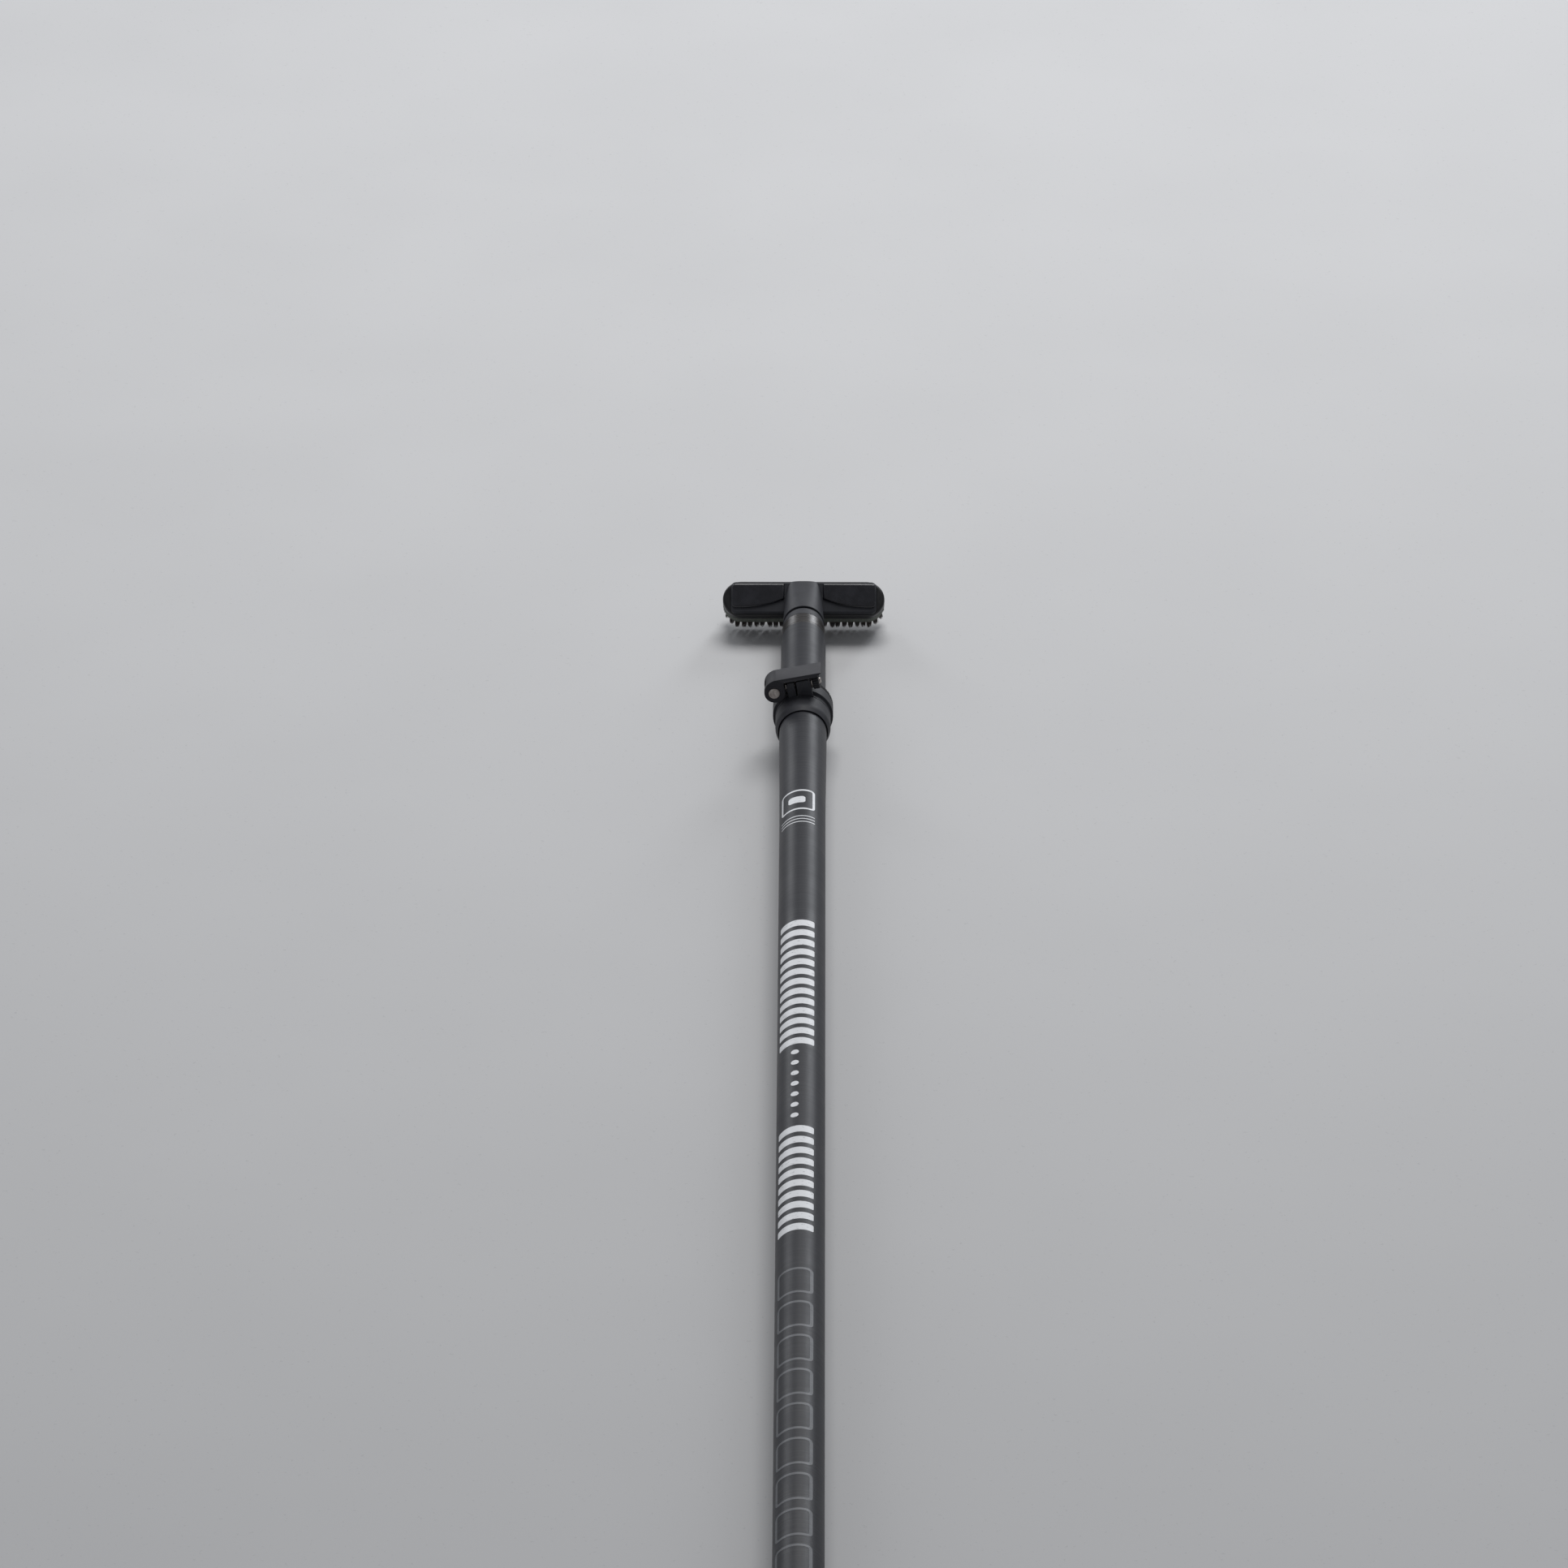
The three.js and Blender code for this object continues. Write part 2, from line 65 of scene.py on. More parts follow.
# ---- Tubes ----
TUBE_R = 20.5
BORE_R = 19.3
LOWER_LENGTH = 1500
SOCKET_DEPTH = 113.5
SOCKET_R = 21.4
SOCKET_BORE_R = 20.3
TAPER_TOP = 1461
TAPER_START = 1329
PLUG_R = 20.0
PLUG_BORE_R = 18.8
SEAL_HEIGHT = 3
UPPER_TOP = 1650.6

# ---- Clamp, in a frame turned about the pole ----
CLAMP_LEAN = math.radians(-11.5)
CLAMP_START = 1479.2
COLLAR_R = 25
COLLAR_CHAMFER = 5.6
SLOT_START = 1502.4
SLOT_END = 1503.2
BAND_START = 1508.8
BAND_END = 1523.5
BAND_R = 27.3
JAW_R = 22.4
LIP_R = 20.9
RIM_END = 1528.7
RIM_TEETH = 36
SLIT = 2
EAR_LEFT = 8.2
EAR_RIGHT = 13.7
EAR_TOP = 38.5
LEVER_START = 1501.2
LEVER_WIDTH = 20.8
LEVER_MIDDLE = LEVER_START + LEVER_WIDTH / 2
LEVER_TOP = 45
LEVER_UNDER = 40.8
LEVER_TIP = 25.2
FORK_SLOT = 9
PIN_X = -20
PIN_Z = 32
PIN_R = 5.1
CAM_X = PIN_X + 0.5
CAM_R = 9.5
SCREW_R = 2.9
SCREW_END = 23
SCREW_PITCH = 1.0
WASHER_THICK = 1.2
WASHER_R = 5.6
NUT_WIDTH = 6
NUT_R = 7
NUT_RIDGES = 18

# ---- Adapter ----
ADAPTER_BORE_R = 14.2
INSERT_START = 1614
FERRULE_START = 1651
FERRULE_END = 1668.7
FERRULE_R = 19.85
FERRULE_BORE_R = 18.3
CONE_END = 1681.5
SPIGOT_R = 16.55
SPIGOT_END = 1706
RING_AT = 1696

# ---- Nozzle, in the head's own frame: X across, Y along its depth, Z away from the sole ----
MOUTH = 1684
MOUTH_R = 19
MOUTH_BORE_R = 16.95
NECK_R = 17
NECK_SQUARE = 1727
NECK_POWER = 3
NECK_END = 1790
NECK_BORE_R = 14.5
HEAD_TILT = math.radians(45)
HEAD_AT = (0, 1734.9, -3.86)
HEAD_ROUND = 17
ROW_HALF = 58
BODY_HALF = 67.5
BODY_NEAR = -15
BODY_FAR = 15.5
BODY_BOTTOM = 2
BODY_TOP = 12
COVER_TOP = 14
COVER_SETBACK = 2.2
COVER_ROOT = -1.5
COVER_NEAR = -9.8
WALL = 2.2
FRAME_TOP = 9
FRAME_FLOOR = 1.6
STRIP_BOTTOM = -11
STRIP_SLOT = 9
TUFT_BOTTOM = -30
TUFT_ROOT_R = 12.5
TUFT_TIP_R = 14.6
TUFT_LIMIT_R = 16.85
TUFT_ROOT_HALF = 3.3
TUFT_TIP_HALF = 2.0
TUFTS_IN_ROW = 20
TUFTS_IN_END = 7
HAIRS_IN_TUFT = 120

POLE = Matrix.Identity(4)
CLAMP = Matrix.Rotation(CLAMP_LEAN, 4, "Y")
HEAD = Matrix.Translation(Vector(HEAD_AT) * MM) @ Matrix.Rotation(HEAD_TILT, 4, "X")

BODIES = frame["record"]["behaviour"]["bodies"]
BODY_OF = {node: body for body, nodes in BODIES.items() for node in nodes}


# ---- Outlines ----
def rounded(corners, reach=0.4, steps=5):
    """A closed outline with its corners rounded.

    A corner may carry its own reach as a third value.
    """
    points = []
    for i, corner in enumerate(corners):
        here = Vector(corner[:2])
        before = Vector(corners[i - 1][:2]) - here
        after = Vector(corners[(i + 1) % len(corners)][:2]) - here
        wanted = corner[2] if len(corner) > 2 else reach
        start = here + before.normalized() * min(wanted, 0.49 * before.length)
        end = here + after.normalized() * min(wanted, 0.49 * after.length)
        for step in range(steps + 1):
            t = step / steps
            points.append((1 - t) ** 2 * start + 2 * t * (1 - t) * here + t * t * end)
    return points


def arc(centre, radius, start, end, steps):
    """Points on an arc, with its angles in degrees."""
    points = []
    for step in range(steps + 1):
        angle = math.radians(start + (end - start) * step / steps)
        points.append(Vector(centre) + radius * Vector((math.cos(angle), math.sin(angle))))
    return points


def stadium(half, radius):
    """Two half circles joined by straight lines."""
    middle = half - radius
    right_end = arc((middle, 0), radius, -90, 90, 48)
    left_end = arc((-middle, 0), radius, 90, 270, 48)
    return right_end + left_end


def rounded_box(half, near, far, corner):
    spans = [(half, near, -90), (half, far, 0), (-half, far, 90), (-half, near, 180)]
    points = []
    for x, y, start in spans:
        centre = (x - math.copysign(corner, x), y + (corner if y == near else -corner))
        points += arc(centre, corner, start, start + 90, 12)
    return points


def curve(start, *controls, steps=24):
    """A quadratic or cubic Bezier curve, without its first point."""
    hull = [Vector(start)] + [Vector(c) for c in controls]
    points = []
    for step in range(1, steps + 1):
        t = step / steps
        row = hull
        while len(row) > 1:
            row = [a.lerp(b, t) for a, b in zip(row, row[1:])]
        points.append(row[0])
    return points


def inset(outline, depth):
    """An anticlockwise outline moved inward."""
    moved = []
    for i, point in enumerate(outline):
        before = (point - outline[i - 1]).normalized()
        after = (outline[(i + 1) % len(outline)] - point).normalized()
        inward = Vector((-before.y - after.y, before.x + after.x)).normalized()
        spread = max(inward.dot(Vector((-after.y, after.x))), 0.6)
        moved.append(point + inward * (depth / spread))
    return moved


# ---- Meshes ----
ALONG = {
    "x": lambda a, b, h: (h, a, b),
    "y": lambda a, b, h: (a, h, b),
    "z": lambda a, b, h: (a, b, h),
}


class Shape:
    """Vertices and faces of one or more closed forms, in millimetres."""

    def __init__(self):
        self.vertices = []
        self.faces = []

    def skin(self, rings, loop=False):
        """Faces between rings of equal length.

        A loop of rings closes on itself. Otherwise the end rings are capped.
        """
        first = len(self.vertices)
        count = len(rings[0])
        for ring in rings:
            self.vertices += [tuple(point) for point in ring]
        pairs = [(k, k + 1) for k in range(len(rings) - 1)]
        if loop:
            pairs.append((len(rings) - 1, 0))
        for a, b in pairs:
            for i in range(count):
                j = (i + 1) % count
                corners = (a * count + i, a * count + j, b * count + j, b * count + i)
                self.faces.append(tuple(first + c for c in corners))
        if not loop:
            last = (len(rings) - 1) * count
            self.faces.append(tuple(first + i for i in reversed(range(count))))
            self.faces.append(tuple(first + last + i for i in range(count)))
        return self


def made(name, shape, place=POLE):
    """An object from a shape, standing at `place`, with its faces pointing out."""
    mesh = bpy.data.meshes.new(name)
    mesh.from_pydata([Vector(v) * MM for v in shape.vertices], [], shape.faces)
    obj = bpy.data.objects.new(name, mesh)
    bpy.context.scene.collection.objects.link(obj)
    obj.matrix_world = place
    face_out(mesh)
    return obj


def face_out(mesh):
    work = bmesh.new()
    work.from_mesh(mesh)
    bmesh.ops.recalc_face_normals(work, faces=work.faces)
    work.to_mesh(mesh)
    work.free()


def turned(profile, along="y", centre=(0, 0), sides=AROUND):
    """A ring turned about an axis. The profile is a closed outline of (radius, height)."""
    rings = []
    for radius, height in profile:
        circle = arc(centre, radius, 0, 360 * (1 - 1 / sides), sides - 1)
        rings.append([ALONG[along](p.x, p.y, height) for p in circle])
    return Shape().skin(rings, loop=True)


def rod(radius, low, high, along="y", centre=(0, 0), edge=0.3, sides=64):
    outline = arc(centre, radius, 0, 360 * (1 - 1 / sides), sides - 1)
    return moulded(outline, low, high, along, (edge, edge), (edge, edge))


def edge_levels(face, edge, steps, way):
    """Levels (inset, height) of a rounded edge from its end face inward, up for 1, down for -1."""
    if not edge[0]:
        return [(0, face)]
    levels = []
    for step in range(steps + 1):
        turn = (step / steps) * math.pi / 2
        levels.append((edge[0] * (1 - math.sin(turn)), face + way * edge[1] * (1 - math.cos(turn))))
    return levels


def moulded(outline, low, high, along="z", low_edge=(0, 0), high_edge=(0, 0), steps=5):
    """An outline pushed along an axis. Each edge is a quarter ellipse of (inset, height)."""
    levels = edge_levels(low, low_edge, steps, 1)
    levels += reversed(edge_levels(high, high_edge, steps, -1))
    rings = []
    for depth, height in levels:
        ring = inset(outline, depth) if depth > 0 else outline
        rings.append([ALONG[along](p.x, p.y, height) for p in ring])
    return Shape().skin(rings)


def block(low, high):
    corners = [(low[0], low[1]), (high[0], low[1]), (high[0], high[1]), (low[0], high[1])]
    return moulded([Vector(corner) for corner in corners], low[2], high[2])


def settled(obj):
    """The object with its modifiers applied."""
    graph = bpy.context.evaluated_depsgraph_get()
    mesh = bpy.data.meshes.new_from_object(obj.evaluated_get(graph))
    obj.modifiers.clear()
    obj.data = mesh
    return obj


def combined(obj, operation, tool):
    """Joins an object with another or cuts it with another, which is used up."""
    modifier = obj.modifiers.new(operation, "BOOLEAN")
    modifier.operation = operation
    modifier.solver = "EXACT"
    modifier.object = tool
    bpy.context.view_layer.update()
    settled(obj)
    bpy.data.objects.remove(tool)
    return obj


def cut(obj, *shapes):
    """Cuts shapes out of an object. They stand in its own frame."""
    for shape in shapes:
        combined(obj, "DIFFERENCE", made("tool", shape, obj.matrix_world))
    return obj


def softened(obj, width, angle=35, segments=2):
    """Rounds the sharp edges."""
    bevel = obj.modifiers.new("edges", "BEVEL")
    bevel.width = width * MM
    bevel.segments = segments
    bevel.limit_method = "ANGLE"
    bevel.angle_limit = math.radians(angle)
    bevel.miter_outer = "MITER_ARC"
    return settled(obj)


def dressed(obj, node, finish, crease=32):
    """Gives a piece its shading and material, and lets it ride in the place of its CAD node."""
    obj.name = node + "_fine"
    obj.data.name = obj.name
    obj.data.shade_smooth()
    obj.data.set_sharp_from_angle(angle=math.radians(crease))
    weighted = obj.modifiers.new("shading", "WEIGHTED_NORMAL")
    weighted.keep_sharp = True
    obj.data.materials.clear()
    obj.data.materials.append(finish)
    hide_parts(node)
    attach(obj, BODY_OF[node])
    return obj


# ---- Materials ----
class Finish:
    """A procedural material, built up by short calls. Sizes are in metres."""

    def __init__(self, name, roughness, metallic=0.0, specular=0.5, coat=0.0):
        self.material = bpy.data.materials.new(name)
        self.material.use_nodes = True
        self.nodes = self.material.node_tree.nodes
        self.links = self.material.node_tree.links
        self.shader = self.nodes["Principled BSDF"]
        self.shader.inputs["Roughness"].default_value = roughness
        self.shader.inputs["Metallic"].default_value = metallic
        self.shader.inputs["Specular IOR Level"].default_value = specular
        self.shader.inputs["Coat Weight"].default_value = coat
        self.shader.inputs["Coat Roughness"].default_value = 0.12
        self.place = self.nodes.new("ShaderNodeTexCoord").outputs["Object"]

    def put(self, socket, value):
        if isinstance(value, bpy.types.NodeSocket):
            self.links.new(value, socket)
        else:
            socket.default_value = value

    def stretched(self, scale):
        mapping = self.nodes.new("ShaderNodeMapping")
        mapping.inputs["Scale"].default_value = scale
        self.links.new(self.place, mapping.inputs["Vector"])
        return mapping.outputs["Vector"]

    def grain(self, size, stretch=(1, 1, 1), detail=3.0):
        """Noise with features about `size` across. A small stretch draws them out on that axis."""
        noise = self.nodes.new("ShaderNodeTexNoise")
        noise.inputs["Scale"].default_value = 1.0
        noise.inputs["Detail"].default_value = detail
        self.links.new(self.stretched([s / size for s in stretch]), noise.inputs["Vector"])
        return noise.outputs["Fac"]

    def cells(self, size, stretch=(1, 1, 1)):
        voronoi = self.nodes.new("ShaderNodeTexVoronoi")
        voronoi.inputs["Scale"].default_value = 1.0
        self.links.new(self.stretched([s / size for s in stretch]), voronoi.inputs["Vector"])
        return voronoi.outputs["Distance"]

    def ranged(self, value, low, high, to_low=0.0, to_high=1.0):
        node = self.nodes.new("ShaderNodeMapRange")
        self.links.new(value, node.inputs["Value"])
        node.inputs["From Min"].default_value = low
        node.inputs["From Max"].default_value = high
        node.inputs["To Min"].default_value = to_low
        node.inputs["To Max"].default_value = to_high
        return node.outputs["Result"]

    def math(self, operation, a, b):
        node = self.nodes.new("ShaderNodeMath")
        node.operation = operation
        self.put(node.inputs[0], a)
        self.put(node.inputs[1], b)
        return node.outputs["Value"]

    def mixed(self, factor, first, second):
        node = self.nodes.new("ShaderNodeMix")
        node.data_type = "RGBA"
        colours = [socket for socket in node.inputs if socket.type == "RGBA"]
        self.put(node.inputs["Factor"], factor)
        for socket, colour in zip(colours, (first, second)):
            self.put(socket, colour if isinstance(colour, bpy.types.NodeSocket) else (*colour, 1))
        return next(socket for socket in node.outputs if socket.type == "RGBA")

    def edges(self, low=0.52, high=0.62):
        """1 on outer edges, 0 elsewhere."""
        pointed = self.nodes.new("ShaderNodeNewGeometry").outputs["Pointiness"]
        return self.ranged(pointed, low, high)

    def colour(self, value):
        self.put(self.shader.inputs["Base Color"], value)

    def roughness(self, value, low, high):
        self.put(self.shader.inputs["Roughness"], self.ranged(value, 0.3, 0.7, low, high))

    def bump(self, height, depth, strength=1.0):
        node = self.nodes.new("ShaderNodeBump")
        node.inputs["Strength"].default_value = strength
        node.inputs["Distance"].default_value = depth
        self.links.new(height, node.inputs["Height"])
        before = self.shader.inputs["Normal"].links
        if before:
            self.links.new(before[0].from_socket, node.inputs["Normal"])
        self.links.new(node.outputs["Normal"], self.shader.inputs["Normal"])


def carbon_tube():
    finish = Finish("carbon_tube", 0.45, specular=0.22)
    lines = finish.grain(0.0022, (0.02, 1, 0.02))
    fine = finish.grain(0.0006, (0.02, 1, 0.02))
    patches = finish.grain(0.05)
    base = finish.mixed(finish.ranged(lines, 0.35, 0.65), (0.017, 0.018, 0.022), (0.026, 0.027, 0.032))
    finish.colour(finish.mixed(finish.ranged(patches, 0.4, 0.7, 0, 0.5), base, (0.021, 0.022, 0.028)))
    worn = finish.math("MULTIPLY", patches, 0.4)
    finish.roughness(finish.math("ADD", finish.math("MULTIPLY", fine, 0.6), worn), 0.38, 0.52)
    finish.bump(lines, 0.00003)
    finish.bump(fine, 0.00001)
    return finish.material


def satin_plastic():
    finish = Finish("satin_plastic", 0.5, specular=0.3)
    flow = finish.grain(0.012, (1, 0.25, 1))
    grain = finish.grain(0.0004)
    base = finish.mixed(finish.ranged(flow, 0.35, 0.65), (0.021, 0.022, 0.027), (0.029, 0.030, 0.036))
    finish.colour(finish.mixed(finish.edges(), base, (0.040, 0.041, 0.047)))
    finish.roughness(grain, 0.48, 0.60)
    finish.bump(grain, 0.00002)
    return finish.material


def gloss_plastic():
    finish = Finish("gloss_plastic", 0.2, specular=0.45, coat=0.2)
    smudges = finish.grain(0.009, detail=4)
    dust = finish.grain(0.0005, detail=1)
    specks = finish.ranged(dust, 0.69, 0.73, 0, 0.6)
    base = finish.mixed(finish.ranged(smudges, 0.35, 0.65), (0.005, 0.005, 0.008), (0.009, 0.009, 0.014))
    finish.colour(finish.mixed(specks, base, (0.08, 0.08, 0.085)))
    finish.roughness(smudges, 0.16, 0.34)
    finish.bump(smudges, 0.00002, 0.4)
    return finish.material


def bumper_plastic():
    finish = Finish("bumper_plastic", 0.4, specular=0.4)
    rubbed = finish.grain(0.006, detail=4)
    grain = finish.grain(0.0007)
    finish.colour(finish.mixed(finish.ranged(rubbed, 0.4, 0.7), (0.005, 0.005, 0.006), (0.010, 0.010, 0.011)))
    finish.roughness(rubbed, 0.32, 0.5)
    finish.bump(grain, 0.00002)
    return finish.material


def strip_plastic():
    finish = Finish("strip_plastic", 0.7, specular=0.3)
    ribs = finish.grain(0.0012, (1, 0.08, 0.08))
    patches = finish.grain(0.008)
    base = finish.mixed(finish.ranged(ribs, 0.35, 0.65), (0.075, 0.083, 0.072), (0.128, 0.138, 0.120))
    finish.colour(finish.mixed(finish.ranged(patches, 0.45, 0.75, 0, 0.5), base, (0.075, 0.078, 0.068)))
    finish.roughness(ribs, 0.6, 0.85)
    finish.bump(ribs, 0.00012)
    return finish.material


def bristle():
    finish = Finish("bristle", 0.55, specular=0.4)
    hairs = finish.grain(0.0006, (1, 1, 0.12), detail=2)
    clumps = finish.grain(0.006, detail=2)
    base = finish.mixed(finish.ranged(hairs, 0.35, 0.65), (0.010, 0.007, 0.006), (0.040, 0.021, 0.015))
    finish.colour(finish.mixed(finish.ranged(clumps, 0.5, 0.7), base, (0.050, 0.024, 0.017)))
    finish.roughness(hairs, 0.45, 0.7)
    return finish.material


def polished_band():
    finish = Finish("polished_band", 0.25, metallic=0.4, specular=0.35)
    lines = finish.grain(0.0007, (0.02, 1, 0.02))
    stain = finish.grain(0.02)
    base = finish.mixed(finish.ranged(stain, 0.35, 0.65), (0.028, 0.025, 0.024), (0.042, 0.039, 0.038))
    finish.colour(finish.mixed(finish.ranged(lines, 0.4, 0.6, 0, 0.4), base, (0.06, 0.057, 0.055)))
    finish.roughness(lines, 0.24, 0.38)
    finish.bump(lines, 0.000008)
    return finish.material


def clamp_plastic():
    finish = Finish("clamp_plastic", 0.6, specular=0.28)
    fibres = finish.cells(0.0007, (1, 0.45, 1))
    flow = finish.grain(0.008)
    base = finish.mixed(finish.ranged(flow, 0.35, 0.65), (0.022, 0.0225, 0.027), (0.031, 0.032, 0.038))
    base = finish.mixed(finish.ranged(fibres, 0.05, 0.35, 0.3, 0), base, (0.046, 0.047, 0.051))
    finish.colour(finish.mixed(finish.edges(), base, (0.05, 0.051, 0.055)))
    finish.roughness(flow, 0.54, 0.66)
    finish.bump(fibres, 0.00003, 0.6)
    return finish.material


def lever_plastic():
    finish = Finish("lever_plastic", 0.6, specular=0.28)
    speckle = finish.cells(0.0009)
    flow = finish.grain(0.010)
    base = finish.mixed(finish.ranged(flow, 0.35, 0.65), (0.017, 0.017, 0.021), (0.024, 0.024, 0.029))
    base = finish.mixed(finish.ranged(speckle, 0.05, 0.45, 0.35, 0), base, (0.042, 0.042, 0.048))
    finish.colour(finish.mixed(finish.edges(), base, (0.05, 0.05, 0.056)))
    finish.roughness(flow, 0.56, 0.68)
    finish.bump(speckle, 0.00005, 0.7)
    return finish.material


def nut_plastic():
    finish = Finish("nut_plastic", 0.6, specular=0.35)
    grain = finish.grain(0.0006)
    base = finish.mixed(finish.ranged(grain, 0.35, 0.65), (0.010, 0.010, 0.012), (0.022, 0.022, 0.025))
    finish.colour(finish.mixed(finish.edges(), base, (0.06, 0.06, 0.065)))
    finish.roughness(grain, 0.5, 0.7)
    finish.bump(grain, 0.00003)
    return finish.material


def rubber():
    finish = Finish("rubber", 0.85, specular=0.25)
    grain = finish.grain(0.0009)
    bloom = finish.grain(0.007)
    base = finish.mixed(finish.ranged(bloom, 0.4, 0.7), (0.010, 0.010, 0.011), (0.026, 0.026, 0.027))
    finish.colour(base)
    finish.roughness(grain, 0.75, 0.95)
    finish.bump(grain, 0.00005)
    return finish.material


def steel():
    finish = Finish("steel", 0.34, metallic=1.0)
    stain = finish.grain(0.003, detail=4)
    scratches = finish.grain(0.0003, (1, 0.1, 1))
    base = finish.mixed(finish.ranged(stain, 0.35, 0.65), (0.36, 0.32, 0.30), (0.56, 0.52, 0.49))
    finish.colour(base)
    finish.roughness(scratches, 0.28, 0.5)
    finish.bump(scratches, 0.000015)
    return finish.material


def ink(name, pale, worn):
    """Printing on the tube, slightly rubbed."""
    finish = Finish(name, 0.45, specular=0.4)
    rubbed = finish.grain(0.0016, (0.4, 1, 0.4), detail=5)
    lines = finish.grain(0.0007, (0.05, 1, 0.05))
    finish.colour(finish.mixed(finish.ranged(rubbed, 0.60, 0.72, 0, 0.7), pale, worn))
    finish.roughness(lines, 0.38, 0.55)
    finish.bump(lines, 0.00001)
    return finish.material


def floor_paint():
    finish = Finish("floor_paint", 0.8, specular=0.2)
    patches = finish.grain(0.25)
    specks = finish.grain(0.003, detail=1)
    base = finish.mixed(finish.ranged(patches, 0.35, 0.65), (0.515, 0.515, 0.52), (0.53, 0.53, 0.535))
    finish.colour(finish.mixed(finish.ranged(specks, 0.72, 0.76, 0, 0.3), base, (0.36, 0.36, 0.365)))
    finish.roughness(patches, 0.75, 0.85)
    finish.bump(specks, 0.00004, 0.3)
    return finish.material


CARBON = carbon_tube()
SATIN = satin_plastic()
GLOSS = gloss_plastic()
BUMPER = bumper_plastic()
STRIP = strip_plastic()
BRISTLE = bristle()
BAND = polished_band()
CLAMP_PLASTIC = clamp_plastic()
LEVER_PLASTIC = lever_plastic()
NUT_PLASTIC = nut_plastic()
RUBBER = rubber()
STEEL = steel()
WHITE_INK = ink("white_ink", (0.68, 0.69, 0.71), (0.20, 0.20, 0.21))
GREY_INK = ink("grey_ink", (0.10, 0.105, 0.115), (0.05, 0.05, 0.055))


# ---- Tubes ----
def lower_tube():
    floor = LOWER_LENGTH - SOCKET_DEPTH
    profile = [
        (BORE_R, 0),
        (TUBE_R, 0),
        (TUBE_R, TAPER_START, 20),
        (SOCKET_R, TAPER_TOP, 15),
        (SOCKET_R, LOWER_LENGTH),
        (SOCKET_BORE_R, LOWER_LENGTH),
        (SOCKET_BORE_R, floor, 0.2),
        (BORE_R, floor, 0.2),
    ]
    dressed(made("tube", turned(rounded(profile, 0.35))), "lower_tube", CARBON)


def socket_seal():
    low = LOWER_LENGTH - SOCKET_DEPTH + GAP
    high = low + SEAL_HEIGHT
    profile = [(PLUG_BORE_R, low), (PLUG_R, low), (PLUG_R, high), (PLUG_BORE_R, high)]
    dressed(made("seal", turned(rounded(profile, 0.5))), "socket_seal", RUBBER)


def upper_tube():
    low = LOWER_LENGTH - SOCKET_DEPTH + SEAL_HEIGHT + 2 * GAP
    shoulder = LOWER_LENGTH + GAP
    profile = [
        (PLUG_BORE_R, low),
        (PLUG_R - 0.8, low),
        (PLUG_R, low + 2, 1),
        (PLUG_R, shoulder, 0.15),
        (TUBE_R, shoulder, 0.2),
        (TUBE_R, UPPER_TOP),
        (BORE_R, UPPER_TOP),
        (BORE_R, shoulder + 12, 1),
        (PLUG_BORE_R, shoulder + 8, 1),
    ]
    dressed(made("tube", turned(rounded(profile, 0.3))), "upper_tube", CARBON)


# ---- Adapter ----
def adapter():
    waist = FERRULE_R - 1.85
    profile = [
        (ADAPTER_BORE_R, INSERT_START),
        (BORE_R - GAP, INSERT_START, 1),
        (BORE_R - GAP, UPPER_TOP, 0.1),
        (waist, UPPER_TOP, 0.1),
        (waist, FERRULE_END + GAP, 0.1),
        (FERRULE_R - 0.1, FERRULE_END + GAP, 0.5),
        (FERRULE_R - 1.5, CONE_END, 1.2),
        (SPIGOT_R, CONE_END + 0.5, 0.6),
        (SPIGOT_R, RING_AT - 1.4, 0.2),
        (SPIGOT_R - 1.2, RING_AT - 1.4, 0.2),
        (SPIGOT_R - 1.2, RING_AT + 1.4, 0.2),
        (SPIGOT_R, RING_AT + 1.4, 0.2),
        (SPIGOT_R - 0.3, SPIGOT_END - 1),
        (SPIGOT_R - 1, SPIGOT_END),
        (ADAPTER_BORE_R, SPIGOT_END),
    ]
    dressed(made("adapter", turned(rounded(profile, 0.4))), "adapter", SATIN)


def adapter_ferrule():
    groove = FERRULE_START + 2.6
    profile = [
        (FERRULE_BORE_R, FERRULE_START, 0.2),
        (FERRULE_R, FERRULE_START, 0.5),
        (FERRULE_R, groove, 0.15),
        (FERRULE_R - 0.25, groove + 0.3, 0.1),
        (FERRULE_R, groove + 0.6, 0.15),
        (FERRULE_R, FERRULE_END, 0.6),
        (FERRULE_BORE_R, FERRULE_END, 0.2),
    ]
    dressed(made("ferrule", turned(rounded(profile))), "adapter_ferrule", BAND)


def spigot_seal():
    inner = SPIGOT_R - 0.9
    profile = [
        (inner, RING_AT - 1.1),
        (SPIGOT_R - 0.1, RING_AT - 1.1),
        (SPIGOT_R + 0.2, RING_AT),
        (SPIGOT_R - 0.1, RING_AT + 1.1),
        (inner, RING_AT + 1.1),
    ]
    dressed(made("seal", turned(rounded(profile, 0.6))), "spigot_seal", RUBBER)


# ---- Clamp ----
def slit_cut():
    return block((-SLIT / 2, SLOT_START, 0), (SLIT / 2, RIM_END + 5, EAR_TOP + 5))


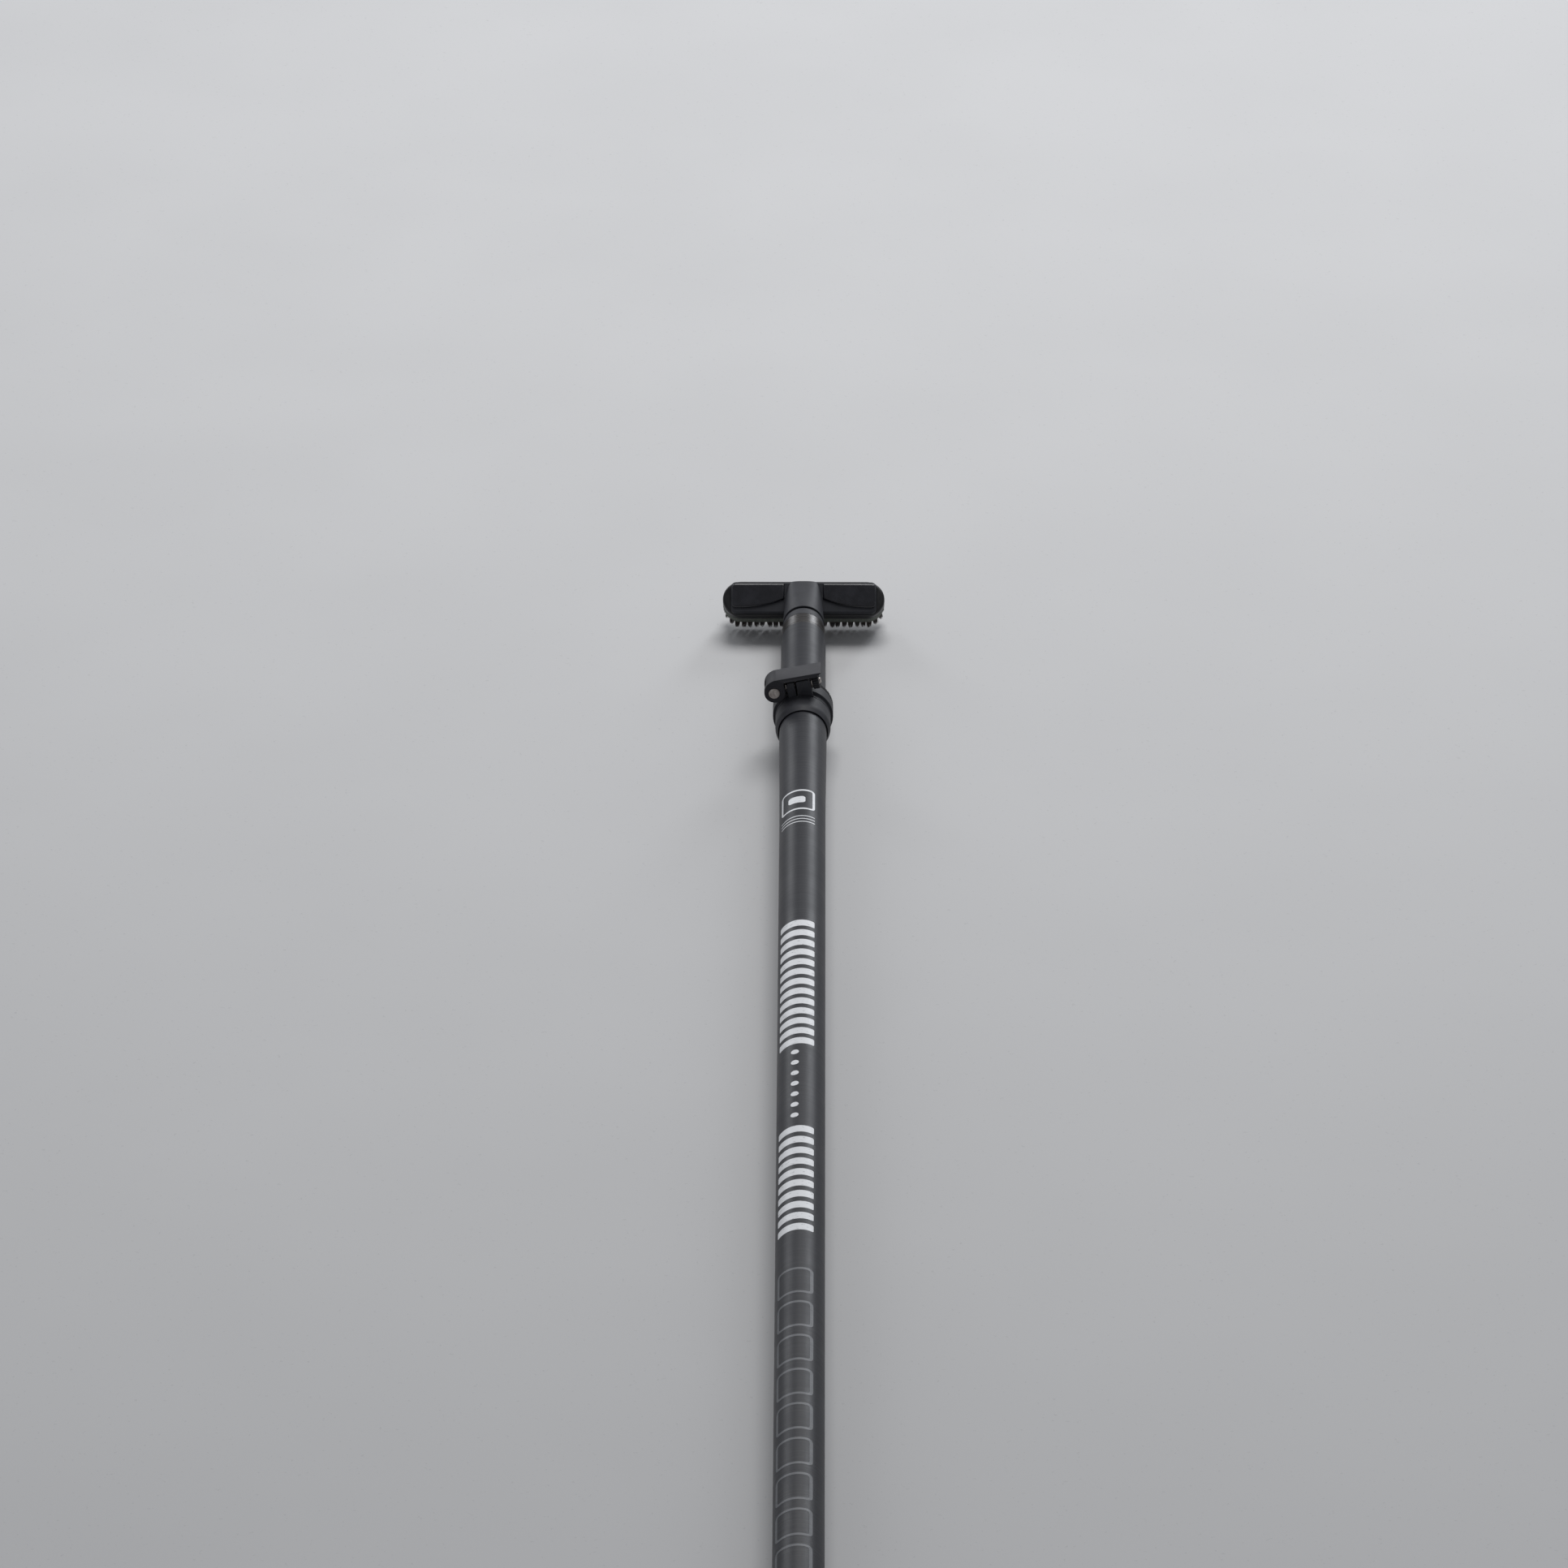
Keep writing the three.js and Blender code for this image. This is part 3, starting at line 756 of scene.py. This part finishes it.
def clamp_body():
    inner = SOCKET_R + GAP
    jaw_floor = SLOT_END + 1
    profile = [
        (inner + 0.6, CLAMP_START, 0.3),
        (COLLAR_R - 2.2, CLAMP_START, 0.7),
        (COLLAR_R, CLAMP_START + COLLAR_CHAMFER, 2.2),
        (COLLAR_R, BAND_START, 0.5),
        (BAND_R, BAND_START, 0.6),
        (BAND_R, BAND_END, 0.6),
        (JAW_R, BAND_END, 0.4),
        (JAW_R, jaw_floor, 0.3),
        (LIP_R, jaw_floor, 0.2),
        (LIP_R, LOWER_LENGTH + GAP, 0.2),
        (inner, LOWER_LENGTH + GAP, 0.2),
        (inner, CLAMP_START + 1, 0.3),
    ]
    ear_corners = [
        (-EAR_LEFT, BAND_R - 8, 0.1),
        (EAR_RIGHT, BAND_R - 8, 0.1),
        (EAR_RIGHT, EAR_TOP, 3),
        (-EAR_LEFT, EAR_TOP, 3),
    ]
    ears = moulded(rounded(ear_corners), SLOT_END, BAND_END - 1, "y")
    body = made("clamp", turned(rounded(profile)), CLAMP)
    jaw_bore = rod(JAW_R, SLOT_END - 1, BAND_END, "y", edge=0, sides=AROUND)
    body = combined(body, "UNION", cut(made("ears", ears, CLAMP), jaw_bore))
    slot = block((-40, SLOT_START, 1.5), (40, SLOT_END, 60))
    hole = rod(SCREW_R + GAP, -40, 40, "x", (LEVER_MIDDLE, PIN_Z), edge=0)
    cut(body, slot, slit_cut(), hole)
    dressed(softened(body, 0.25), "clamp_body", CLAMP_PLASTIC)


def clamp_liner():
    start = SLOT_END + 1 + GAP
    inner = TUBE_R + 0.25
    profile = [
        (inner, start),
        (JAW_R - GAP, start),
        (JAW_R - GAP, BAND_END + GAP, 0.1),
        (BAND_R, BAND_END + GAP, 0.4),
        (BAND_R, RIM_END - 1, 0.4),
        (BAND_R - 1, RIM_END, 0.4),
        (inner, RIM_END, 0.4),
    ]
    liner = made("liner", turned(rounded(profile, 0.3)), CLAMP)
    teeth = Shape()
    for tooth in range(RIM_TEETH):
        angle = (tooth + 0.5) / RIM_TEETH * 2 * math.pi
        centre = (BAND_R * math.sin(angle), BAND_R * math.cos(angle))
        notch = arc(centre, 0.7, 0, 345, 23)
        low = [(p.x, BAND_END + 1.5, p.y) for p in notch]
        high = [(p.x, RIM_END + 2, p.y) for p in notch]
        teeth.skin([low, high])
    cut(liner, slit_cut(), teeth)
    dressed(liner, "clamp_liner", RUBBER)


def lever_outline():
    """Section of the lever: a flat bar that rolls into the cam round the pin."""
    left = CAM_X - CAM_R
    roll = LEVER_TOP - PIN_Z
    under = [
        Vector((CAM_X + CAM_R, LEVER_UNDER - 1)),
        Vector((CAM_X + CAM_R + 1, LEVER_UNDER)),
        Vector((LEVER_TIP - 5.5, LEVER_UNDER)),
        Vector((LEVER_TIP, LEVER_TOP - 1)),
        Vector((LEVER_TIP, LEVER_TOP)),
    ]
    over = arc((left + roll, PIN_Z), roll, 90, 180, 24)
    cam = arc((CAM_X, PIN_Z), CAM_R, 180, 360, 48)
    return over + cam[1:] + under


def lever():
    end = LEVER_START + LEVER_WIDTH
    bar = made("lever", moulded(lever_outline(), LEVER_START, end, "y"), CLAMP)
    bore = rod(PIN_R + 0.2, LEVER_START - 1, end + 1, "y", (PIN_X, PIN_Z), edge=0)
    half = FORK_SLOT / 2
    fork = block((-40, LEVER_MIDDLE - half, 10), (-6, LEVER_MIDDLE + half, LEVER_UNDER - 1))
    cut(bar, bore, fork)
    dressed(softened(bar, 0.45, segments=3), "lever", LEVER_PLASTIC)


def pivot_pin():
    low = LEVER_START - GAP
    high = LEVER_START + LEVER_WIDTH + GAP
    pin = made("pin", rod(PIN_R, low, high, "y", (PIN_X, PIN_Z), edge=0.45), CLAMP)
    hole = rod(SCREW_R + GAP, PIN_X - 10, PIN_X + 10, "x", (LEVER_MIDDLE, PIN_Z), edge=0)
    dimples = Shape()
    for end, depth in ((low, 0.35), (high, -0.35)):
        rings = []
        for radius, height in ((1.5, end - depth), (1.5, end), (0.5, end + depth)):
            circle = arc((PIN_X, PIN_Z), radius, 0, 345, 23)
            rings.append([(p.x, height, p.y) for p in circle])
        dimples.skin(rings)
    cut(pin, hole, dimples)
    dressed(pin, "pivot_pin", STEEL)


def clamp_screw():
    """A threaded rod: its radius follows a helix."""
    start = PIN_X - PIN_R + 1
    depth = 0.42
    sides = 36
    rings = []
    steps = int((SCREW_END - start) / SCREW_PITCH * 8)
    for step in range(steps + 1):
        x = start + (SCREW_END - start) * step / steps
        plain = min(x - start, SCREW_END - x) < 0.6
        ring = []
        for side in range(sides):
            angle = 2 * math.pi * side / sides
            phase = (x / SCREW_PITCH - side / sides) % 1
            radius = SCREW_R - depth * (1 if plain else abs(2 * phase - 1))
            y = LEVER_MIDDLE + radius * math.cos(angle)
            ring.append((x, y, PIN_Z + radius * math.sin(angle)))
        rings.append(ring)
    dressed(made("screw", Shape().skin(rings), CLAMP), "clamp_screw", STEEL, crease=60)


def washer(node, low):
    bore = SCREW_R + GAP
    high = low + WASHER_THICK
    profile = rounded([(bore, low), (WASHER_R, low), (WASHER_R, high), (bore, high)], 0.25)
    ring = turned(profile, "x", (LEVER_MIDDLE, PIN_Z), 72)
    dressed(made("washer", ring, CLAMP), node, STEEL)


def adjuster_nut():
    outline = []
    sides = NUT_RIDGES * 12
    for side in range(sides):
        angle = 2 * math.pi * side / sides
        radius = NUT_R - 0.7 + 0.7 * abs(math.cos(angle * NUT_RIDGES / 2)) ** 0.7
        y = LEVER_MIDDLE + radius * math.cos(angle)
        outline.append(Vector((y, PIN_Z + radius * math.sin(angle))))
    low = EAR_RIGHT + WASHER_THICK + 2 * GAP
    knob = made("nut", moulded(outline, low, low + NUT_WIDTH, "x", (0.6, 0.6), (0.9, 0.9)), CLAMP)
    bore = rod(SCREW_R + GAP, low - 1, low + NUT_WIDTH + 1, "x", (LEVER_MIDDLE, PIN_Z), edge=0)
    dish = rod(5.2, low + NUT_WIDTH - 0.6, low + NUT_WIDTH + 1, "x", (LEVER_MIDDLE, PIN_Z), edge=0)
    cut(knob, bore, dish)
    dressed(knob, "adjuster_nut", NUT_PLASTIC)


# ---- Nozzle ----
def to_head(point):
    """A point of the pole's frame in the head's frame, both in millimetres."""
    return Matrix.Rotation(-HEAD_TILT, 3, "X") @ (Vector(point) - Vector(HEAD_AT))


def neck_skin(outset=0.0):
    """The neck narrows from its round mouth and turns square on its upper side."""
    stops = [(MOUTH, 0), (MOUTH + 0.4, 0)]
    steps = 24
    stops += [(MOUTH + (NECK_SQUARE - MOUTH) * k / steps, k / steps) for k in range(1, steps + 1)]
    stops.append((NECK_END, 1))
    rings = []
    for at, share in stops:
        radius = MOUTH_R + (NECK_R - MOUTH_R) * share + outset
        if at == MOUTH:
            radius -= 0.4
        power = 2 + (NECK_POWER - 2) * share ** 1.5
        ring = []
        for side in range(AROUND):
            angle = 2 * math.pi * side / AROUND
            across, up = math.cos(angle), math.sin(angle)
            bulge = power if up > 0 else 2
            reach = radius * (abs(across) ** bulge + abs(up) ** bulge) ** (-1 / bulge)
            ring.append(to_head((reach * across, at, reach * up)))
        rings.append(ring)
    return Shape().skin(rings)


def pipe_bore():
    """The suction duct through the neck, in the head's frame."""
    stops = [
        (MOUTH_BORE_R + 1.2, MOUTH - 1),
        (MOUTH_BORE_R, MOUTH + 3),
        (MOUTH_BORE_R, SPIGOT_END + 1),
        (NECK_BORE_R, SPIGOT_END + 3),
        (NECK_BORE_R, NECK_END),
    ]
    rings = []
    for radius, at in stops:
        circle = arc((0, 0), radius, 0, 360 * (1 - 1 / 96), 95)
        rings.append([to_head((p.x, at, p.y)) for p in circle])
    return Shape().skin(rings)


def nozzle_body():
    far_side = block((-90, BODY_FAR - 0.02, -90), (90, 120, 90))
    below = block((-90, -120, -120), (90, 120, BODY_BOTTOM + 0.02))
    neck = cut(made("neck", neck_skin(), HEAD), far_side, below)
    arms = moulded(
        rounded_box(BODY_HALF, BODY_NEAR, BODY_FAR, 5),
        BODY_BOTTOM,
        BODY_TOP,
        high_edge=(2.0, 2.0),
    )
    body = combined(made("arms", arms, HEAD), "UNION", neck)
    behind = block((-90, BODY_FAR - WALL, -90), (90, 120, 90))
    combined(body, "DIFFERENCE", cut(made("bore", pipe_bore(), HEAD), behind))
    hollow = rounded_box(BODY_HALF - WALL, BODY_NEAR + WALL, BODY_FAR - WALL, 3)
    cut(body, moulded(hollow, 0, BODY_TOP - WALL))
    dressed(body, "nozzle_body", SATIN)


def cover_outline():
    """The right cover: straight by the neck and the far edge, swept back along the near edge."""
    inner = NECK_R + 0.8
    outer = BODY_HALF - 1
    far = BODY_FAR - COVER_SETBACK
    near_end = (outer - 5, COVER_NEAR)
    points = [Vector((inner, COVER_ROOT))]
    points += curve((inner, COVER_ROOT), (inner + 9, COVER_ROOT - 4), (inner + 22, COVER_NEAR), near_end)
    points += curve(near_end, (outer, COVER_NEAR), (outer, COVER_NEAR + 4), steps=12)
    points += curve((outer, far - 4), (outer, far), (outer - 4, far), steps=12)
    points.append(Vector((inner, far)))
    return points


def cover(side):
    node = "cover_right" if side > 0 else "cover_left"
    outline = cover_outline()
    if side < 0:
        outline = [Vector((-p.x, p.y)) for p in reversed(outline)]
    plate = moulded(outline, BODY_TOP + GAP, COVER_TOP, high_edge=(2.2, 1.5), steps=7)
    dressed(made("cover", plate, HEAD), node, GLOSS)


def brush_frame():
    outline = stadium(ROW_HALF + HEAD_ROUND, HEAD_ROUND)
    outside = moulded(outline, 0, FRAME_TOP, low_edge=(1.2, 1.2), high_edge=(2.6, 3.0), steps=7)
    seat = rounded_box(BODY_HALF + GAP, BODY_NEAR - GAP, BODY_FAR + GAP, 5 + GAP)
    pocket = moulded(seat, FRAME_FLOOR, FRAME_TOP + 1)
    mouth = moulded(stadium(ROW_HALF, STRIP_SLOT - 1), -1, FRAME_FLOOR + 1)
    below = block((-90, -120, -120), (90, 120, FRAME_FLOOR))
    behind = block((-90, BODY_NEAR, -120), (90, 120, 120))
    notch = cut(made("notch", neck_skin(2 * GAP), HEAD), below, behind)
    bumper = cut(made("frame", outside, HEAD), pocket, mouth)
    dressed(combined(bumper, "DIFFERENCE", notch), "brush_frame", BUMPER)


def brush_strip():
    outer = HEAD_ROUND - 0.1
    outline = stadium(ROW_HALF + outer, outer)
    outside = moulded(outline, STRIP_BOTTOM, -GAP, low_edge=(0.7, 0.7), high_edge=(0.4, 0.4))
    slot = moulded(stadium(ROW_HALF + STRIP_SLOT, STRIP_SLOT), STRIP_BOTTOM - 1, 1)
    strip = cut(made("strip", outside, HEAD), slot)
    dressed(strip, "brush_strip", STRIP)


def add_hair(shape, root, tip, bow, radius):
    """One bristle: a thin three-sided spike that bows a little sideways."""
    along = (tip - root).normalized()
    side = along.orthogonal().normalized()
    other = along.cross(side)
    rings = []
    for share in (0, 0.35, 0.7, 1):
        centre = root.lerp(tip, share) + bow * math.sin(math.pi * share)
        thick = radius * (1 - 0.45 * share)
        ring = []
        for corner in range(3):
            angle = 2 * math.pi * corner / 3
            ring.append(centre + thick * (math.cos(angle) * side + math.sin(angle) * other))
        rings.append(ring)
    shape.skin(rings)


def keep_in(tip):
    """Brings a tip that spreads too far back to the edge of the row or of its round end."""
    past_end = math.copysign(max(abs(tip.x) - ROW_HALF, 0), tip.x)
    spread = math.hypot(past_end, tip.y)
    if spread > TUFT_LIMIT_R:
        share = 1 - TUFT_LIMIT_R / spread
        tip.x -= share * past_end
        tip.y -= share * tip.y


def add_tuft(shape, centre, outward, draw):
    """A bundle of bristles from a point of the strip. It leans outward and opens towards the tips."""
    sideways = Vector((-outward.y, outward.x, 0))
    lean = draw.uniform(-1.0, 1.0) * sideways + draw.uniform(-0.5, 0.5) * outward
    for _ in range(HAIRS_IN_TUFT):
        angle = draw.uniform(0, 2 * math.pi)
        spread = math.sqrt(draw.random())
        out, aside = spread * math.cos(angle) * outward, spread * math.sin(angle) * sideways
        root = centre + outward * TUFT_ROOT_R + 1.75 * out + TUFT_ROOT_HALF * aside
        root.z = STRIP_BOTTOM + 0.8
        tip = centre + outward * TUFT_TIP_R + 2 * out + TUFT_TIP_HALF * aside + lean
        tip += Vector((draw.gauss(0, 0.25), draw.gauss(0, 0.25), 0))
        tip.z = TUFT_BOTTOM + 0.2 + abs(draw.gauss(0, 0.5))
        keep_in(tip)
        bow = Vector((draw.gauss(0, 0.12), draw.gauss(0, 0.12), 0))
        add_hair(shape, root, tip, bow, draw.uniform(0.13, 0.18))


def bristle_row(node, side, seed):
    draw = random.Random(seed)
    shape = Shape()
    pitch = 2 * ROW_HALF / TUFTS_IN_ROW
    for tuft in range(TUFTS_IN_ROW):
        x = (tuft + 0.5) * pitch - ROW_HALF
        add_tuft(shape, Vector((x, 0, 0)), Vector((0, side, 0)), draw)
    dressed(made("row", shape, HEAD), node, BRISTLE)


def bristle_end(node, side, seed):
    draw = random.Random(seed)
    shape = Shape()
    for tuft in range(TUFTS_IN_END):
        angle = math.pi * ((tuft + 0.5) / TUFTS_IN_END - 0.5)
        outward = Vector((side * math.cos(angle), math.sin(angle), 0))
        add_tuft(shape, Vector((side * ROW_HALF, 0, 0)), outward, draw)
    dressed(made("end", shape, HEAD), node, BRISTLE)


# ---- Printing on the lower tube: plain bars and dots ----
MARK_CENTRE = math.radians(-15)  # about the pole, from straight up towards -X
MARK_HALF = 17  # half its reach round the tube
INK_LOW = 0.02  # underside and top of the printing, above the tube
INK_HIGH = 0.07


def on_tube(around, along, lift):
    """A point above the tube's surface, from its distance round and along the tube."""
    widened = max(0, along - TAPER_START) / (TAPER_TOP - TAPER_START)
    radius = TUBE_R + (SOCKET_R - TUBE_R) * widened + lift
    angle = MARK_CENTRE + around / TUBE_R
    return (radius * math.sin(angle), along, radius * math.cos(angle))


def add_patch(shape, low, high, middle, half_height, corner):
    """A filled patch with rounded ends, from `low` to `high` round the tube."""
    steps = 28
    rings = []
    for step in range(steps + 1):
        share = (1 - math.cos(math.pi * step / steps)) / 2
        around = low + (high - low) * share
        edge = min(around - low, high - around)
        dip = max(0, 1 - edge / corner)
        half = half_height - min(corner, half_height * 0.98) * (1 - math.sqrt(max(0, 1 - dip * dip)))
        rings.append(
            [
                on_tube(around, middle - half, INK_LOW),
                on_tube(around, middle - half, INK_HIGH),
                on_tube(around, middle + half, INK_HIGH),
                on_tube(around, middle + half, INK_LOW),
            ]
        )
    shape.skin(rings)


def add_border(shape, low, high, start, end, corner, line):
    """A rounded rectangular border."""
    outer = spaced(rounded([(high, start), (high, end), (low, end), (low, start)], corner, 8))
    inner = inset(outer, line)
    rings = []
    for outline, lift in ((outer, INK_LOW), (outer, INK_HIGH), (inner, INK_HIGH), (inner, INK_LOW)):
        rings.append([on_tube(p.x, p.y, lift) for p in outline])
    shape.skin(rings, loop=True)


def spaced(outline, most=1.5):
    """The outline with extra points, so that it can wrap round the tube."""
    points = []
    for i, point in enumerate(outline):
        after = outline[(i + 1) % len(outline)]
        parts = max(1, math.ceil((after - point).length / most))
        points += [point.lerp(after, k / parts) for k in range(parts)]
    return points


def ladder(shape, start, end, rungs, thick, half=MARK_HALF):
    """Evenly spaced bars round the tube."""
    for rung in range(rungs):
        middle = start + (rung + 0.5) * (end - start) / rungs
        add_patch(shape, -half, half, middle, thick / 2, 1.5)


def white_printing():
    shape = Shape()
    add_border(shape, -MARK_HALF, MARK_HALF, 1303, 1338, 5, 2.4)
    add_patch(shape, -8, 8, 1320.5, 5.5, 3)
    for line in (1291, 1286, 1281):
        add_patch(shape, -MARK_HALF, MARK_HALF, line, 0.6, 0.4)
    ladder(shape, 898, 1112, 13, 10)
    for dot in range(7):
        add_patch(shape, -3.5, 3.5, 786 + dot * 17, 3.5, 3.4)
    ladder(shape, 602, 772, 10, 10)
    return shape


def grey_printing():
    shape = Shape()
    for start in range(60, 560, 50):
        add_border(shape, -MARK_HALF, MARK_HALF, start, start + 38, 6, 3)
    return shape


def printing():
    for name, shape, finish in (
        ("tube_bars", white_printing(), WHITE_INK),
        ("tube_borders", grey_printing(), GREY_INK),
    ):
        marks = made(name, shape)
        marks.data.materials.append(finish)
        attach(marks, "lower_section")


# ---- Stage, lights and camera ----
CAMERA_ELEVATION = math.radians(29.5)
CAMERA_YAW = math.radians(0.255)
CAMERA_AIM_Y = 1.384  # metres along the pole
CAMERA_DISTANCE = 8.305
POLE_OFFSET = 0.0167  # how far right of the picture's middle the pole passes
LENS = 213.07


def camera():
    data = bpy.data.cameras.new("camera")
    data.lens = LENS
    data.sensor_width = 36
    data.clip_start = 0.1
    data.clip_end = 200
    obj = bpy.data.objects.new("camera", data)
    bpy.context.scene.collection.objects.link(obj)
    right = Vector((math.cos(CAMERA_YAW), math.sin(CAMERA_YAW), 0))
    ahead = Vector((-math.sin(CAMERA_YAW), math.cos(CAMERA_YAW), 0)) * math.cos(CAMERA_ELEVATION)
    ahead.z = -math.sin(CAMERA_ELEVATION)
    aim = Vector((0, CAMERA_AIM_Y, 0)) - right * POLE_OFFSET
    obj.location = aim - ahead * CAMERA_DISTANCE
    obj.rotation_mode = "QUATERNION"
    obj.rotation_quaternion = ahead.to_track_quat("-Z", "Y")
    bpy.context.scene.camera = obj


def softbox(name, direction, distance, size, energy, colour=(1, 1, 1)):
    """A square light that faces the clamp end of the pole."""
    target = Vector((0, 1.5, 0))
    data = bpy.data.lights.new(name, "AREA")
    data.shape = "RECTANGLE"
    data.size, data.size_y = size
    data.energy = energy
    data.color = colour
    obj = bpy.data.objects.new(name, data)
    bpy.context.scene.collection.objects.link(obj)
    aim = Vector(direction).normalized()
    obj.location = target + aim * distance
    obj.rotation_mode = "QUATERNION"
    obj.rotation_quaternion = (-aim).to_track_quat("-Z", "Y")


def lights():
    softbox("right_window", (0.42, 0.87, 0.40), 5, (1.2, 2.0), 60, (0.93, 0.96, 1))
    softbox("left_window", (-0.50, 0.80, 0.38), 5, (1.5, 2.0), 42, (0.95, 0.97, 1))
    softbox("ceiling", (0.1, 0.45, 1), 4, (2.4, 2.4), 110)
    world = bpy.data.worlds.new("room")
    world.use_nodes = True
    background = world.node_tree.nodes["Background"]
    background.inputs["Color"].default_value = (0.80, 0.82, 0.86, 1)
    background.inputs["Strength"].default_value = 0.33
    bpy.context.scene.world = world
    bpy.context.scene.view_settings.view_transform = "Standard"


def stage():
    level = cad_box[0].z / MM - 0.5
    sides = arc((0, 0), 40000, 0, 345, 23)
    ring = [(p.x, p.y + 1000, level) for p in sides]
    under = [(p.x, p.y + 1000, level - 10) for p in sides]
    floor = made("floor", Shape().skin([ring, under]))
    floor.data.materials.append(floor_paint())


lower_tube()
socket_seal()
upper_tube()
adapter()
adapter_ferrule()
spigot_seal()
clamp_body()
clamp_liner()
lever()
pivot_pin()
clamp_screw()
washer("cam_washer", -EAR_LEFT - GAP - WASHER_THICK)
washer("nut_washer", EAR_RIGHT + GAP)
adjuster_nut()
nozzle_body()
cover(-1)
cover(1)
brush_frame()
brush_strip()
bristle_row("bristles_near", -1, 11)
bristle_row("bristles_far", 1, 12)
bristle_end("bristles_left", -1, 13)
bristle_end("bristles_right", 1, 14)
printing()
stage()
lights()
camera()
